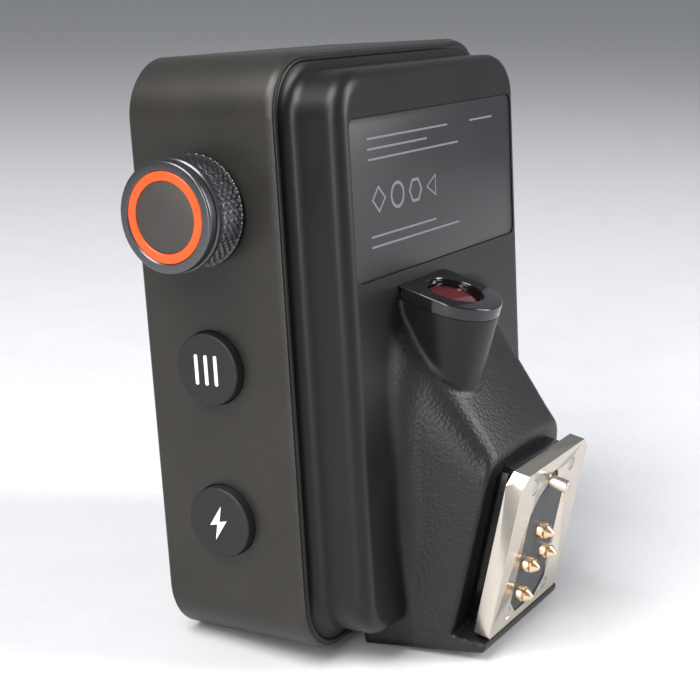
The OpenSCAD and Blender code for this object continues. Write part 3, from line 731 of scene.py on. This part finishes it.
def build_button(name, z):
    flange = BUTTON_R + 0.6
    cap = [(0, BUTTON_STEM), (1.1, BUTTON_STEM), (1.1, BUTTON_INNER - 0.8),
           (flange, BUTTON_INNER - 0.8), (flange, BUTTON_INNER - 0.2),
           (BUTTON_R, BUTTON_INNER - 0.2)]
    cap += arc(BUTTON_R - 0.3, BUTTON_FRONT - 0.3, 0.3, 0, 90, 6)
    cap += [(2.5, BUTTON_FRONT - 0.03), (0, BUTTON_FRONT - 0.05)]
    body = name + "_button"
    done(lathe(name + "_cap", cap, on_side(z), 96), "button_rubber", body, [body])


def icon(name, outline, z):
    """A printed sign on a button's face. Local X runs down the object, local Y to the back."""
    sign = prism(name, outline, BUTTON_FRONT - 0.08, BUTTON_FRONT + 0.015, on_side(z))
    body = name.split("_icon")[0] + "_button"
    done(sign, "button_rubber", body, material=print_white)


def build_buttons():
    build_button("menu", MENU_Z)
    build_button("test", TEST_Z)
    for i, y in enumerate((-1.3, 0, 1.3)):
        icon(f"menu_icon_{i + 1}", rounded((-1.7, y - 0.22), (1.7, y + 0.22), 0.2, 4), MENU_Z)
    bolt = [(-2.0, 0.5), (0.35, -1.15), (0.15, -0.15), (2.0, -0.5), (-0.35, 1.15), (-0.15, 0.15)]
    icon("test_icon", bolt, TEST_Z)


# ---- screen ----

def build_screen():
    glass = copy_node("screen_glass", "screen_pane", 0.22, 4)
    done(glass, "screen_glass", nodes=["screen_glass"], placed=True)


# ---- stage ----

def build_stage():
    size = 9
    floor = make("floor", [(-size, -size, 0), (size, -size, 0), (size, size, 0), (-size, size, 0)],
                 [(0, 1, 2, 3)])
    floor.data.materials.append(finish("floor_pale", (.62, .62, .63), .6, grain=1.5, depth=.02,
                                       tone=.03))
    bpy.context.scene.view_settings.view_transform = "Standard"
    world = bpy.data.worlds.new("studio")
    bpy.context.scene.world = world
    world.use_nodes = True
    world.node_tree.nodes["Background"].inputs["Color"].default_value = (.80, .83, .88, 1)
    world.node_tree.nodes["Background"].inputs["Strength"].default_value = 0.38


def add_light(name, at, target, size, power):
    data = bpy.data.lights.new(name, "AREA")
    data.shape = "RECTANGLE"
    data.size, data.size_y = size
    data.energy = power
    lamp = bpy.data.objects.new(name, data)
    bpy.context.scene.collection.objects.link(lamp)
    lamp.location = at
    lamp.rotation_euler = (Vector(target) - Vector(at)).to_track_quat("-Z", "Y").to_euler()


def build_lights():
    middle = (0, 0, 0.035)
    add_light("key", (0.35, -0.1, 0.55), middle, (0.4, 0.4), 6)
    add_light("side", (0.55, 0.1, 0.16), middle, (0.12, 0.5), 2.2)
    add_light("back_strip", (-0.25, 0.5, 0.3), middle, (0.14, 0.5), 4)


def build_camera():
    azimuth, elevation, roll = math.radians(58.44), math.radians(15.23), math.radians(0.47)
    at = Vector((0.139525, 0.08019, 0.076765))
    away = Vector((math.sin(azimuth) * math.cos(elevation), math.cos(azimuth)
                   * math.cos(elevation), math.sin(elevation)))
    data = bpy.data.cameras.new("camera")
    data.sensor_width = 36
    data.lens = 72.63
    data.clip_start = 0.005
    camera = bpy.data.objects.new("camera", data)
    bpy.context.scene.collection.objects.link(camera)
    turn = (-away).to_track_quat("-Z", "Y").to_matrix().to_4x4()
    camera.matrix_world = Matrix.Translation(at) @ turn @ Matrix.Rotation(roll, 4, "Z")
    bpy.context.scene.camera = camera


for entry in frame["record"]["subparts"]:
    cad = frame["nodes"][entry["node"]]
    cad.data.materials.clear()
    cad.data.materials.append(materials[entry["material_slot"]])

build_camera()
build_stage()
build_lights()
build_screen()
build_frame()
build_cover()
build_label()
build_lamp()
build_foot()
build_dial()
build_buttons()
